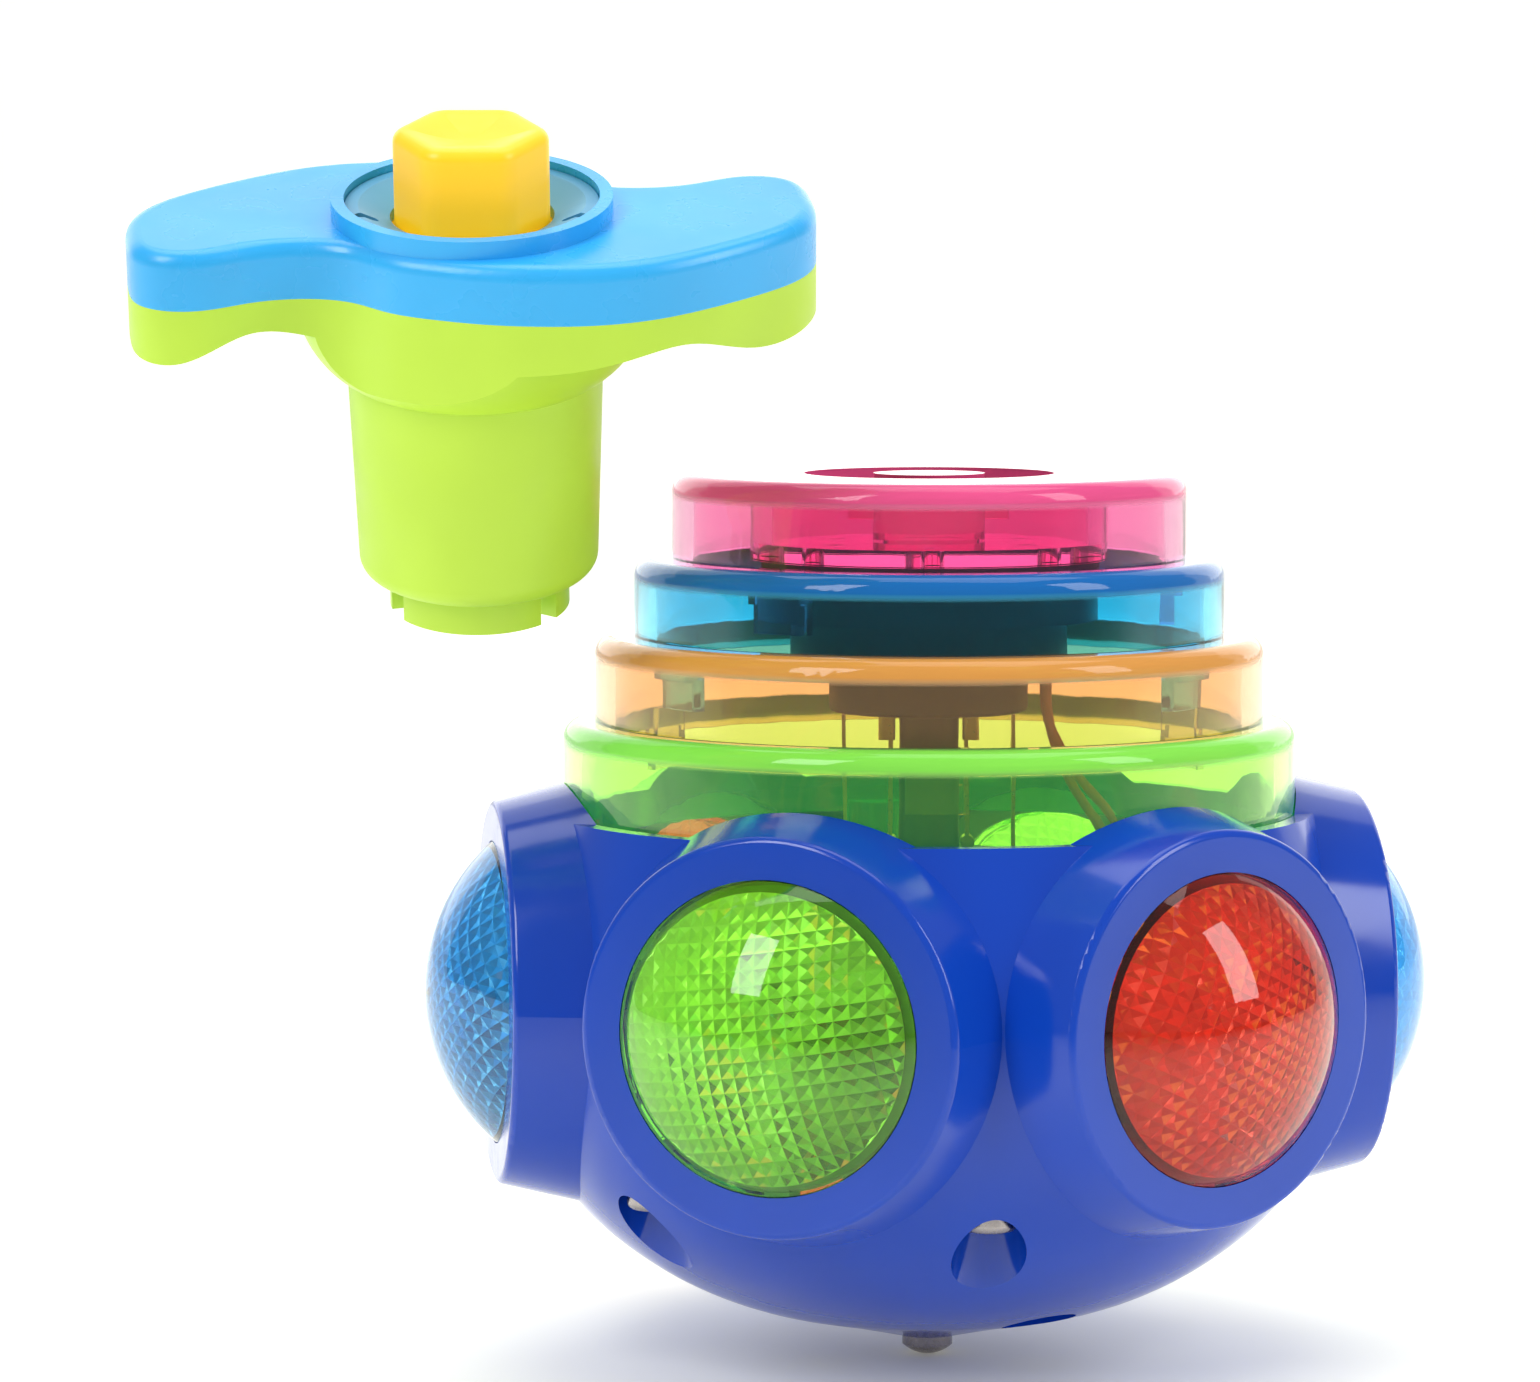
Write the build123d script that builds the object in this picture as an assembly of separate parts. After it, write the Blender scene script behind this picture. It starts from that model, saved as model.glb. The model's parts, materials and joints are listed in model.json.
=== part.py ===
from build123d import *
import os
from math import atan2, ceil, cos, degrees, hypot, pi, radians, sin, tan

# A light-up spinning top and the hand launcher that winds it up and lets it go.
# Millimetres. The origin is the point of the steel tip, +Z is the top's spin axis,
# and the front of the object faces -Y.

# ---------------------------------------------------------------- the top: case
tip_seat_height = 2.0  # underside of the battery cover above the floor
bowl_rim_height = 53.6
bowl_rim_radius = 37.3
bowl_belly_radius = 40.6
bowl_belly_height = 34.0
bowl_slope_radius = 29.5  # a point on the sloping underside
bowl_slope_height = 11.4
bowl_shoulder_radius = 37.6
bowl_shoulder_height = 20.5
bowl_wall = 2.0

hatch_radius = 15.0  # round battery cover
hatch_edge_height = 4.9
hatch_clearance = 0.15
hatch_top_height = 7.0
bay_wall = 2.0
bay_top_height = 16.5
notch_radius = 3.6  # finger notch beside the battery cover
notch_azimuth = 33.0
notch_circle = 18.6
notch_height = 6.4
notch_depth = 1.1
notch_tilt = 24.0

# ---------------------------------------------------------------- the top: clear tiers
tier_wall = 2.0
tier_step = {"lime": 1.8, "orange": 3.1, "blue": 3.8, "pink": 3.7}  # each tier in from the one below
tier_height = {"lime": 8.7, "orange": 8.2, "blue": 7.5, "pink": 8.2}  # each tier above the one below
tier_radius = {}
tier_top = {}
level_radius, level_height = bowl_rim_radius, bowl_rim_height
for tier_name in tier_step:
    level_radius -= tier_step[tier_name]
    level_height += tier_height[tier_name]
    tier_radius[tier_name], tier_top[tier_name] = level_radius, level_height
tier_edge_round = 1.7
tier_skirt = 3.5  # how far the lime tier reaches into the bowl
tier_fit = 0.1  # radial clearance of each tier in the one below
lip_drop = 2.6
tab_width = 5.8
tab_thickness = 1.2
tab_drop = 6.1
tab_hook = 0.7
tab_hook_height = 1.2
tab_count = 3
tab_azimuth = {"orange": 0.0, "blue": 60.0, "pink": -37.0}

socket_bore_radius = 12.1
socket_wall_radius = 17.3
socket_wall = 2.0
socket_floor = 1.6
boss_radius = 5.4
boss_lug_reach = 2.4
boss_lug_width = 2.0
boss_lug_height = 3.2
sound_hole_radius = 1.0
sound_hole_circle = 10.5
sound_hole_count = 6

# ---------------------------------------------------------------- the top: lenses
first_lens_azimuth = -21.7
lens_names = ("front_green", "front_red", "right_blue", "rear_green", "rear_red", "left_blue")
lens_azimuth = {name: first_lens_azimuth + 60.0 * index for index, name in enumerate(lens_names)}
lens_opening_radius = 14.6
lens_height = 36.4  # height of the lens centres
bezel_stand = 1.9  # bezel faces beyond the belly
bezel_face_distance = bowl_belly_radius + bezel_stand
bezel_width = 3.8
bezel_face_radius = lens_opening_radius + bezel_width
bezel_length = 11.5
bezel_root_distance = bezel_face_distance - bezel_length
bezel_flare = 2.8
bezel_root_radius = bezel_face_radius + bezel_flare
bezel_edge_round = 0.7
lens_fit = 0.1
lens_dome = 6.6  # how far a lens stands out of its bezel
lens_wall = 1.5
lens_flange_width = 1.4
lens_flange_radius = lens_opening_radius + lens_flange_width
lens_flange_thickness = 1.4
lens_seat_depth = 2.2  # flange seat behind the bezel face
retainer_thickness = 1.6
retainer_width = 2.6
retainer_arm_width = 2.2
led_holder_radius = 3.7
led_holder_length = 4.0
led_radius = 2.5
led_rim_radius = 2.9
led_rim_thickness = 1.0
led_body_length = 7.6

# ---------------------------------------------------------------- the top: inside
case_screw_circle = 33.4
case_screw_azimuths = (8.3, 128.3, 188.3, 308.3)
counterbore_radius = 3.5
counterbore_roof_height = 19.4
tower_wall = 1.5
tower_roof = 2.2
post_radius = 3.0
post_rise = 1.1  # how far the posts run up inside the lime skirt
post_gap = 0.1
post_clearance = 0.3  # between the posts and the wall of the bowl
screw_head_radius = 2.7
screw_head_height = 1.7
screw_shank_radius = 1.3
case_screw_length = 11.0

cell_radius = 5.8
cell_height = 5.4
cell_circle = 7.6
cell_count = 3
cell_clearance = 0.2
contact_thickness = 0.4
contact_radius = 4.6
cover_contact_radius = 9.4
holder_flange = 1.0
holder_gap = 0.2
small_screw_inset = 3.0  # battery cover screws in from its edge
small_screw_circle = hatch_radius - small_screw_inset
small_screw_head_radius = 2.0
small_screw_head_height = 1.2
small_screw_shank_radius = 0.85
cover_screw_length = 6.5
cover_screw_roof_height = 5.7

board_radius = 23.0
board_thickness = 1.6
board_screw_circle = 10.5
board_screw_length = 3.2
chip_size = (5.0, 4.0, 1.75)
chip_place = (5.6, -15.2)

centre_post_radius = 2.9
centre_post_collar_radius = 9.4
centre_post_collar_height = 2.0
switch_arm_length = 12.4
switch_arm_distance = 3.7
switch_arm_thickness = 0.4
switch_arm_width = 2.2
switch_weight_size = (1.6, 3.0, 2.4)
switch_magnet_gap = 0.4
switch_contact_distance = 8.2

speaker_radius = 16.4
speaker_rim_height = 5.0
speaker_basket_radius = 13.4
speaker_depth = 8.6
speaker_wall = 0.8
magnet_radius = 9.7
magnet_height = 5.4
gasket_thickness = 0.8
gasket_width = 2.2

tip_flange_radius = 2.45
tip_dome_radius = 3.6
tip_shank_radius = 1.5
tip_shank_length = 4.6

wire_radius = 0.45

# ---------------------------------------------------------------- the launcher
# Local frame: the origin is on the launcher's axis at the joint between its two shells.
launcher_x = -42.6
launcher_y = -30.0
launcher_rise = 20.15  # its joint above the pink tier
launcher_z = tier_top["pink"] + launcher_rise
launcher_tilt = 19.0  # leans its button towards the front

blade_half_length = 31.4
blade_half_width = 15.4
grip_top_thickness = 5.4
grip_bottom_thickness = 5.0
grip_wall = 1.8
scoop_thickness = 3.0
grip_round = 1.4
collar_radius = 12.9
collar_bore_radius = 11.7
collar_height = 7.1
dish_fit = 0.1
dish_thickness = 1.1
dish_edge_height = 6.4
dish_centre_height = 5.2
dish_slot_offset = 3.5

hub_radius = 16.4
hub_height = 9.9
barrel_top_radius = 11.8
barrel_bottom_radius = 11.1
barrel_bottom_height = 29.6
barrel_bore_radius = 9.9
barrel_floor = 2.0
barrel_edge_round = 1.8

button_across_corners = 14.25
button_corner_round = 1.6
dish_slot_distance = (collar_bore_radius + button_across_corners / 2) / 2
button_top_height = 13.4
button_travel = 4.2
button_hole_clearance = 0.4
button_flange_width = 1.475
button_flange_radius = button_across_corners / 2 + button_flange_width
button_flange_thickness = 1.4
button_flange_gap = 0.2
button_dish_depth = 1.1
rod_radius = 1.9
rod_fit = 0.05

seat_height = 8.0
seat_thickness = 1.5
return_spring_radius = 5.4
return_spring_wire = 0.8
return_spring_turns = 6
power_spring_height = 5.0
power_spring_turns = 6
power_spring_thickness = 0.35
power_spring_inner_radius = 4.0
power_spring_gap = 0.7
arbor_radius = 3.2
washer_thickness = 0.3
coupler_gap = 0.3
coupler_bore_radius = 6.1
coupler_flange_thickness = 1.6
claw_length = 3.4
claw_ramp_rise = 2.2
grip_screw_inset = 8.4
grip_screw_x = blade_half_length - grip_screw_inset
grip_screw_y = 3.0
grip_screw_length = 7.0


# ---------------------------------------------------------------- shapes used throughout
def disc(radius, bottom, top):
    """A round slab about the axis between two heights"""
    align = (Align.CENTER, Align.CENTER, Align.MIN)
    return Pos(0, 0, bottom) * Cylinder(radius, top - bottom, align=align)


def ring(outer, inner, bottom, top):
    """A round ring about the axis between two heights"""
    return disc(outer, bottom, top) - disc(inner, bottom - 1, top + 1)


def block(x_size, y_size, bottom, top):
    """A rectangular block centred on the axis between two heights"""
    align = (Align.CENTER, Align.CENTER, Align.MIN)
    return Pos(0, 0, bottom) * Box(x_size, y_size, top - bottom, align=align)


def turned(shape, azimuth):
    """A shape made at the front, turned about the spin axis to its own azimuth"""
    return Rot(0, 0, azimuth) * shape


def spun(*outline):
    """A solid of revolution from edges in the XZ plane that close on themselves"""
    return revolve(make_face(list(outline)), Axis.Z)


def spun_polygon(*points):
    """A solid of revolution from (radius, height) corners"""
    corners = [(radius, 0, height) for radius, height in points]
    return spun(*Polyline(*corners, close=True).edges())


def joined(shapes):
    """Separate solids kept together in one node"""
    solids = [solid for shape in shapes for solid in shape.solids()]
    return Compound(children=solids)


def wire_along(points, radius):
    """A round wire through straight runs, with each corner as wide as its two runs allow"""
    runs = [Vector(*b) - Vector(*a) for a, b in zip(points, points[1:])]
    bends = []
    for before, after in zip(runs, runs[1:]):
        half_turn = radians(before.get_angle(after)) / 2
        bends.append(0.45 * min(before.length, after.length) / tan(half_turn))
    path = FilletPolyline(*points, radius=bends)
    start = Plane(origin=points[0], z_dir=runs[0])
    return sweep(start * Circle(radius), path=path)


def pan_screw(head_radius, head_height, shank_radius, length):
    """A pan-head screw pointing up, with its head's underside at height 0 and a cross recess"""
    head = disc(head_radius, -head_height, 0)
    head = fillet(head.edges().group_by(Axis.Z)[0], head_height * 0.45)
    recess_depth = head_height * 0.55
    arm = block(head_radius * 1.1, head_radius * 0.28, -head_height - 1, recess_depth - head_height)
    shank = disc(shank_radius, 0, length - shank_radius)
    point = Pos(0, 0, length - shank_radius) * Cone(
        shank_radius, shank_radius * 0.25, shank_radius, align=(Align.CENTER, Align.CENTER, Align.MIN)
    )
    return head - arm - Rot(0, 0, 90) * arm + shank + point


# ---------------------------------------------------------------- the top: case
def bowl_outline(inset):
    """Points of the bowl's wall from the battery cover to the rim, moved inwards by inset"""
    outline = [
        (hatch_radius + hatch_clearance, hatch_edge_height),
        (bowl_slope_radius, bowl_slope_height),
        (bowl_shoulder_radius, bowl_shoulder_height),
        (bowl_belly_radius, bowl_belly_height),
        (bowl_rim_radius, bowl_rim_height),
    ]
    moved = []
    for index, (radius, height) in enumerate(outline):
        before = outline[max(index - 1, 0)]
        after = outline[min(index + 1, len(outline) - 1)]
        along_radius, along_height = after[0] - before[0], after[1] - before[1]
        length = hypot(along_radius, along_height)
        moved.append((radius - inset * along_height / length, height + inset * along_radius / length))
    return moved


def bowl_solid(inset):
    """The bowl's outer form, or its hollow when inset is the wall"""
    top = bowl_rim_height
    points = [(radius, 0, height) for radius, height in bowl_outline(inset)]
    first, last = points[0], points[-1]
    wall = Spline(*points)
    up = Line(last, (last[0], 0, top)) if top > last[2] + 0.001 else None
    lid = Line((last[0], 0, top), (0, 0, top))
    axis = Line((0, 0, top), (0, 0, first[2]))
    base = Line((0, 0, first[2]), first)
    return spun(*[edge for edge in (wall, up, lid, axis, base) if edge])


def outward(distance):
    """Turns a shape made about +Z into one about a lens axis, at a distance from the spin axis"""
    return Pos(0, -distance, lens_height) * Rot(90, 0, 0)


def bezel():
    length = bezel_face_distance - bezel_root_distance
    cone = Cone(bezel_root_radius, bezel_face_radius, length, align=(Align.CENTER, Align.CENTER, Align.MIN))
    cone = fillet(cone.edges().group_by(Axis.Z)[-1], bezel_edge_round)
    return outward(bezel_root_distance) * cone


def lens_pocket():
    """The opening in a bezel, with the wider seat for the lens flange behind it"""
    seat_distance = bezel_face_distance - lens_seat_depth
    opening = disc(lens_opening_radius, -12, 12)
    seat_radius = lens_flange_radius + lens_fit
    seat = disc(seat_radius, -9, 0)
    return outward(seat_distance) * (opening + seat)


def lower_bowl():
    outer = bowl_solid(0)
    for azimuth in lens_azimuth.values():
        outer += turned(bezel(), azimuth)
    hollow = bowl_solid(bowl_wall)
    tier_seat_radius = tier_radius["lime"] + tier_fit
    seat_base = bowl_rim_height - tier_skirt - tier_fit
    seat_top = max(bowl_rim_height, lens_height + bezel_root_radius) + 1
    hollow += disc(tier_seat_radius, seat_base, seat_top)
    bay_radius = hatch_radius + hatch_clearance
    bowl = outer - hollow - disc(bay_radius, 0, bay_top_height)
    bowl += ring(bay_radius + bay_wall, bay_radius, hatch_edge_height + 0.9, bay_top_height)
    tower_top = counterbore_roof_height + tower_roof
    tower_radius = counterbore_radius + tower_wall
    for azimuth in case_screw_azimuths:
        tower = disc(tower_radius, 0, tower_top)
        tower &= Pos(0, case_screw_circle, 0) * bowl_solid(0.3)
        bowl += turned(Pos(0, -case_screw_circle, 0) * tower, azimuth)
    for azimuth in lens_azimuth.values():
        bowl -= turned(lens_pocket(), azimuth)
    for azimuth in case_screw_azimuths:
        bore = disc(counterbore_radius, 0, counterbore_roof_height)
        bore += disc(screw_shank_radius + 0.2, 0, tower_top + 1)
        bowl -= turned(Pos(0, -case_screw_circle, 0) * bore, azimuth)
    notch = Pos(0, -notch_circle, notch_height) * Rot(-notch_tilt, 0, 0) * disc(notch_radius, -4, notch_depth)
    bowl -= turned(notch, notch_azimuth)
    return bowl


# ---------------------------------------------------------------- the top: clear tiers
def tab_sector(azimuth):
    return turned(Pos(0, -50, 0) * block(tab_width, 100, 0, 200), azimuth)


def tier_tabs(name, hole_radius, base):
    """Snap tabs that reach through the hole in the tier below and hook under its ledge"""
    tabs = ring(hole_radius - tier_fit, hole_radius - tier_fit - tab_thickness, base - tab_drop, base)
    hook_top = base - tier_wall - tier_fit
    hook_base = hook_top - tab_hook_height
    tabs += ring(hole_radius + tab_hook, hole_radius - tier_fit - tab_thickness, hook_base, hook_top)
    step = 360 / tab_count
    sectors = [tab_sector(tab_azimuth[name] + step * index) for index in range(tab_count)]
    return [tabs & sector for sector in sectors]


def tier_hole_radius(name):
    """The hole that a tier's lip drops into, half a wall inside that tier's own face"""
    return tier_radius[name] - tier_wall / 2


def tier_shell(name, base, hole_radius):
    radius, top = tier_radius[name], tier_top[name]
    shell = disc(radius, base, top)
    shell = fillet(shell.edges().group_by(Axis.Z)[-1], tier_edge_round)
    shell -= disc(radius - tier_wall, base - 1, top - tier_wall)
    return shell - disc(hole_radius, base - 1, top + 1)


def tier_lip(name, base):
    hole_radius = tier_hole_radius(name)
    outer = hole_radius - tier_fit
    inner = tier_radius[name] - tier_wall
    lip = ring(outer, inner, base - lip_drop, base + 0.5)
    for tab in tier_tabs(name, hole_radius, base):
        lip += tab
    return lip


def tier_lime():
    base = bowl_rim_height - tier_skirt
    tier = tier_shell("lime", base, tier_hole_radius("orange"))
    post_base = counterbore_roof_height + tower_roof + post_gap
    post_top = base + post_rise
    for azimuth in case_screw_azimuths:
        post = Pos(0, -case_screw_circle, 0) * disc(post_radius, post_base, post_top)
        post &= disc(tier_radius["lime"] - post_clearance, post_base, post_top)
        pilot_top = counterbore_roof_height + case_screw_length
        post -= Pos(0, -case_screw_circle, 0) * disc(screw_shank_radius, 0, pilot_top)
        tier += turned(post, azimuth)
    return tier


def tier_orange():
    base = tier_top["lime"]
    return tier_shell("orange", base, tier_hole_radius("blue")) + tier_lip("orange", base)


def tier_blue():
    base = tier_top["orange"]
    return tier_shell("blue", base, tier_hole_radius("pink")) + tier_lip("blue", base)


def tier_pink():
    base, top = tier_top["blue"], tier_top["pink"]
    tier = tier_shell("pink", base, socket_bore_radius) + tier_lip("pink", base)
    tier += ring(socket_wall_radius, socket_wall_radius - socket_wall, base, top - tier_wall / 2)
    tier += disc(socket_wall_radius, base, base + socket_floor)
    tier += disc(boss_radius, base, top)
    lug_reach = boss_radius + boss_lug_reach
    lug_top = top - 1.2
    tier += block(2 * lug_reach, boss_lug_width, lug_top - boss_lug_height, lug_top)
    for index in range(sound_hole_count):
        hole = Pos(0, -sound_hole_circle, 0) * disc(sound_hole_radius, base - 1, base + socket_floor + 1)
        tier -= turned(hole, 360 / sound_hole_count * index)
    return tier


# ---------------------------------------------------------------- the top: lenses and LEDs
def lens():
    """A domed lens with its flange on the bezel's seat, about +Z from the seat outwards"""
    chord = lens_opening_radius - lens_fit
    rise = lens_dome
    sphere_radius = (chord**2 + rise**2) / (2 * rise)
    centre = lens_seat_depth + rise - sphere_radius
    neck = disc(chord, 0, lens_seat_depth)
    cap = Pos(0, 0, centre) * Sphere(sphere_radius) & disc(chord, lens_seat_depth - 0.01, 50)
    flange = disc(lens_flange_radius, -lens_flange_thickness, 0)
    hollow = Pos(0, 0, centre) * Sphere(sphere_radius - lens_wall)
    hollow &= disc(chord - lens_wall, -50, 50)
    hollow &= disc(50, -lens_flange_thickness - 1, 50)
    body = flange + neck + cap
    return outward(bezel_face_distance - lens_seat_depth) * (body - hollow - disc(chord - lens_wall, -5, 0.5))


def retainer_distance():
    """Outer face of a lens retainer, just behind the lens flange"""
    return bezel_face_distance - lens_seat_depth - lens_flange_thickness - 0.05


def lens_retainer():
    """A ring behind the lens flange, with three arms that hold the LED on the lens axis"""
    opening = lens_flange_radius - retainer_width
    rim = ring(lens_flange_radius, opening, -retainer_thickness, 0)
    arm = Pos(0, -opening / 2, 0) * block(retainer_arm_width, opening + 1, -retainer_thickness, 0)
    shape = rim + arm + turned(arm, 120) + turned(arm, 240)
    shape += disc(led_holder_radius, -led_holder_length, 0)
    shape -= disc(led_radius + 0.05, -10, 1)
    return outward(retainer_distance()) * shape


def led():
    """A domed LED whose rim sits on the back of its holder"""
    rim_top = -led_holder_length
    body_top = rim_top + led_body_length - led_radius
    shape = disc(led_radius, rim_top, body_top)
    shape += Pos(0, 0, body_top) * Sphere(led_radius)
    shape += disc(led_rim_radius, rim_top - led_rim_thickness, rim_top)
    return outward(retainer_distance()) * shape


def led_back_distance():
    return retainer_distance() - led_holder_length - led_rim_thickness


def led_wires():
    """One twin lead for each LED, from its back down to the edge of the circuit board"""
    start = led_back_distance()
    board_top = board_base_height() + board_thickness
    edge = board_radius - 1.6
    route = [
        (0, -start, lens_height),
        (0, -start + 5.0, lens_height),
        (0, -edge, board_top + 7.0),
        (0, -edge, board_top),
    ]
    lead = wire_along(route, wire_radius)
    pair = [Pos(-1.27, 0, 0) * lead, Pos(1.27, 0, 0) * lead]
    return joined([turned(one, azimuth) for azimuth in lens_azimuth.values() for one in pair])


# ---------------------------------------------------------------- the top: inside
def case_screws():
    screw = pan_screw(screw_head_radius, screw_head_height, screw_shank_radius, case_screw_length - 0.4)
    screw = Pos(0, -case_screw_circle, counterbore_roof_height) * screw
    return joined([turned(screw, azimuth) for azimuth in case_screw_azimuths])


def small_screw_azimuths():
    """Halfway between the button cells"""
    step = 360 / cell_count
    return [step / 2 + step * index for index in range(cell_count)]


def battery_cover():
    edge = (hatch_radius, 0, hatch_edge_height)
    outer = Spline((3.0, 0, tip_seat_height), (9.0, 0, tip_seat_height + 1.5), edge)
    corner = (hatch_radius, 0, hatch_top_height)
    cover = spun(
        Line((0, 0, tip_seat_height), (3.0, 0, tip_seat_height)),
        outer,
        Line(edge, corner),
        Line(corner, (0, 0, hatch_top_height)),
        Line((0, 0, hatch_top_height), (0, 0, tip_seat_height)),
    )
    cover -= disc(tip_shank_radius, 0, tip_seat_height + tip_shank_length)
    for azimuth in small_screw_azimuths():
        bore = disc(small_screw_head_radius + 0.3, 0, cover_screw_roof_height)
        bore += disc(small_screw_shank_radius + 0.1, 0, hatch_top_height + 1)
        cover -= turned(Pos(0, -small_screw_circle, 0) * bore, azimuth)
    return cover


def battery_cover_screws():
    screw = pan_screw(
        small_screw_head_radius, small_screw_head_height, small_screw_shank_radius, cover_screw_length
    )
    screw = Pos(0, -small_screw_circle, cover_screw_roof_height) * screw
    return joined([turned(screw, azimuth) for azimuth in small_screw_azimuths()])


def cover_contact():
    plate = disc(cover_contact_radius, hatch_top_height, hatch_top_height + contact_thickness)
    return plate - disc(tip_shank_radius + 0.5, 0, hatch_top_height + 2)


def cell_base_height():
    return hatch_top_height + contact_thickness


def cell_places():
    step = 360 / cell_count
    return [turned(Pos(0, -cell_circle, 0), step * index) for index in range(cell_count)]


def button_cells():
    """Each cell is a can with a slightly smaller cap on top"""
    base = cell_base_height()
    can = disc(cell_radius, base, base + cell_height * 0.86)
    can = fillet(can.edges().group_by(Axis.Z)[0], 0.4)
    cell = can + disc(cell_radius * 0.84, base, base + cell_height)
    return joined([place * cell for place in cell_places()])


def battery_contacts():
    base = cell_base_height() + cell_height
    plate = disc(contact_radius, base, base + contact_thickness)
    return joined([place * plate for place in cell_places()])


def holder_top_height():
    return bay_top_height + holder_flange


def battery_holder():
    base = cell_base_height() + holder_gap
    holder = disc(hatch_radius, base, bay_top_height)
    holder += disc(hatch_radius + bay_wall, bay_top_height, holder_top_height())
    pocket_top = cell_base_height() + cell_height + contact_thickness
    pocket = disc(cell_radius + cell_clearance, 0, pocket_top)
    for place in cell_places():
        holder -= place * pocket
    for azimuth in small_screw_azimuths():
        pilot = disc(small_screw_shank_radius, 0, cover_screw_roof_height + cover_screw_length + 0.3)
        holder -= turned(Pos(0, -small_screw_circle, 0) * pilot, azimuth)
    for azimuth in board_screw_azimuths():
        pilot = disc(small_screw_shank_radius, holder_top_height() - board_screw_length + 1, 60)
        holder -= turned(Pos(0, -board_screw_circle, 0) * pilot, azimuth)
    return holder


def board_base_height():
    return holder_top_height()


def board_screw_azimuths():
    return [angle + 90 for angle in small_screw_azimuths()]


def circuit_board():
    base = board_base_height()
    board = disc(board_radius, base, base + board_thickness)
    for azimuth in board_screw_azimuths():
        hole = disc(small_screw_shank_radius + 0.15, base - 1, base + board_thickness + 1)
        board -= turned(Pos(0, -board_screw_circle, 0) * hole, azimuth)
    return board


def board_screws():
    screw = pan_screw(
        small_screw_head_radius, small_screw_head_height, small_screw_shank_radius, board_screw_length
    )
    screw = Pos(0, -board_screw_circle, board_base_height() + board_thickness) * Rot(180, 0, 0) * screw
    return joined([turned(screw, azimuth) for azimuth in board_screw_azimuths()])


def sound_chip():
    base = board_base_height() + board_thickness
    return Pos(*chip_place, 0) * block(chip_size[0], chip_size[1], base, base + chip_size[2])


def magnet_base_height():
    return speaker_base_height() - magnet_height


def speaker_top_height():
    return tier_top["blue"] - gasket_thickness


def speaker_base_height():
    return speaker_top_height() - speaker_depth


def switch_top_height():
    return magnet_base_height() - switch_magnet_gap


def switch_pivot_height():
    return switch_top_height() - switch_arm_length


def centre_post():
    """A dark post from the circuit board up to the speaker, with the collar of the spin switch"""
    base = board_base_height() + board_thickness
    top = magnet_base_height() - 0.3
    post = disc(centre_post_radius, base, top)
    post += disc(6.0, base, base + 1.5)
    collar_top = switch_pivot_height() - 1.2
    collar = disc(centre_post_collar_radius, collar_top - centre_post_collar_height, collar_top)
    return post + collar


def switch_contacts():
    """Two fixed strips that the arms of the spin switch swing out against"""
    base = switch_pivot_height() - 1.2
    strip = block(switch_arm_thickness, switch_arm_width, base, switch_top_height())
    foot = Pos(-0.6, 0, 0) * block(1.2, switch_arm_width, base, base + switch_arm_thickness)
    right = Pos(switch_contact_distance, 0, 0) * (strip + foot)
    return joined([right, Rot(0, 0, 180) * right])


def switch_arm(side):
    """A thin arm of the spin switch with the small weight at its free end"""
    arm = block(switch_arm_thickness, switch_arm_width, switch_pivot_height(), switch_top_height())
    arm += Pos(0, 0, switch_pivot_height()) * Rot(90, 0, 0) * Cylinder(0.7, switch_arm_width)
    width, depth, height = switch_weight_size
    weight_base = switch_top_height() - height
    weight = block(width, depth, weight_base, switch_top_height())
    weight = fillet(weight.edges().filter_by(Axis.Z), 0.4)
    weight_shift = side * (width / 2 - switch_arm_thickness)
    return Pos(side * switch_arm_distance, 0, 0) * (arm + Pos(weight_shift, 0, 0) * weight)


def speaker_frame():
    """Basket of the speaker: a wide rim stepping down to a narrower back"""
    top = speaker_top_height()
    base = speaker_base_height()
    step = top - speaker_rim_height
    frame = disc(speaker_radius, step, top)
    frame += disc(speaker_basket_radius, base, step)
    hollow = disc(speaker_radius - speaker_wall, step + speaker_wall, top + 1)
    hollow += disc(speaker_basket_radius - speaker_wall, base + speaker_wall, step + 2)
    return frame - hollow


def speaker_cone():
    """A shallow paper cone with a dust cap, inside the speaker's rim"""
    top = speaker_top_height() - 0.4
    outer = speaker_radius - speaker_wall - 0.3
    depth = 3.4
    inner = 4.2
    sheet = 0.5
    cone = spun_polygon(
        (outer, top), (outer, top - sheet), (outer - 2, top - sheet), (inner, top - depth - sheet),
        (0, top - depth - sheet), (0, top - depth), (inner, top - depth), (outer - 2, top),
    )
    coil = ring(inner, inner - sheet, top - depth - 2.2, top - depth - sheet / 2)
    return cone + coil


def speaker_magnet():
    magnet = disc(magnet_radius, magnet_base_height(), speaker_base_height())
    return fillet(magnet.edges().group_by(Axis.Z)[0], 0.5)


def speaker_gasket():
    top = tier_top["blue"]
    return ring(speaker_radius, speaker_radius - gasket_width, top - gasket_thickness, top)


def speaker_wires():
    """Two leads from the circuit board up through the clear tiers to the back of the speaker"""
    board_top = board_base_height() + board_thickness
    end = speaker_base_height()
    first = [
        (14.0, 8.0, board_top), (14.0, 8.0, 28.0), (17.5, 4.0, 39.0), (18.0, 3.0, 50.0),
        (13.5, 2.0, 56.5), (11.5, 0.0, 62.0), (11.5, 0.0, end),
    ]
    second = [
        (17.0, 2.0, board_top), (17.0, 2.0, 29.0), (20.6, -2.0, 41.0), (19.0, -3.6, 51.5),
        (13.2, -4.6, 58.5), (11.0, -4.6, 63.0), (11.0, -4.6, end),
    ]
    return joined([wire_along(route, wire_radius) for route in (first, second)])


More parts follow.
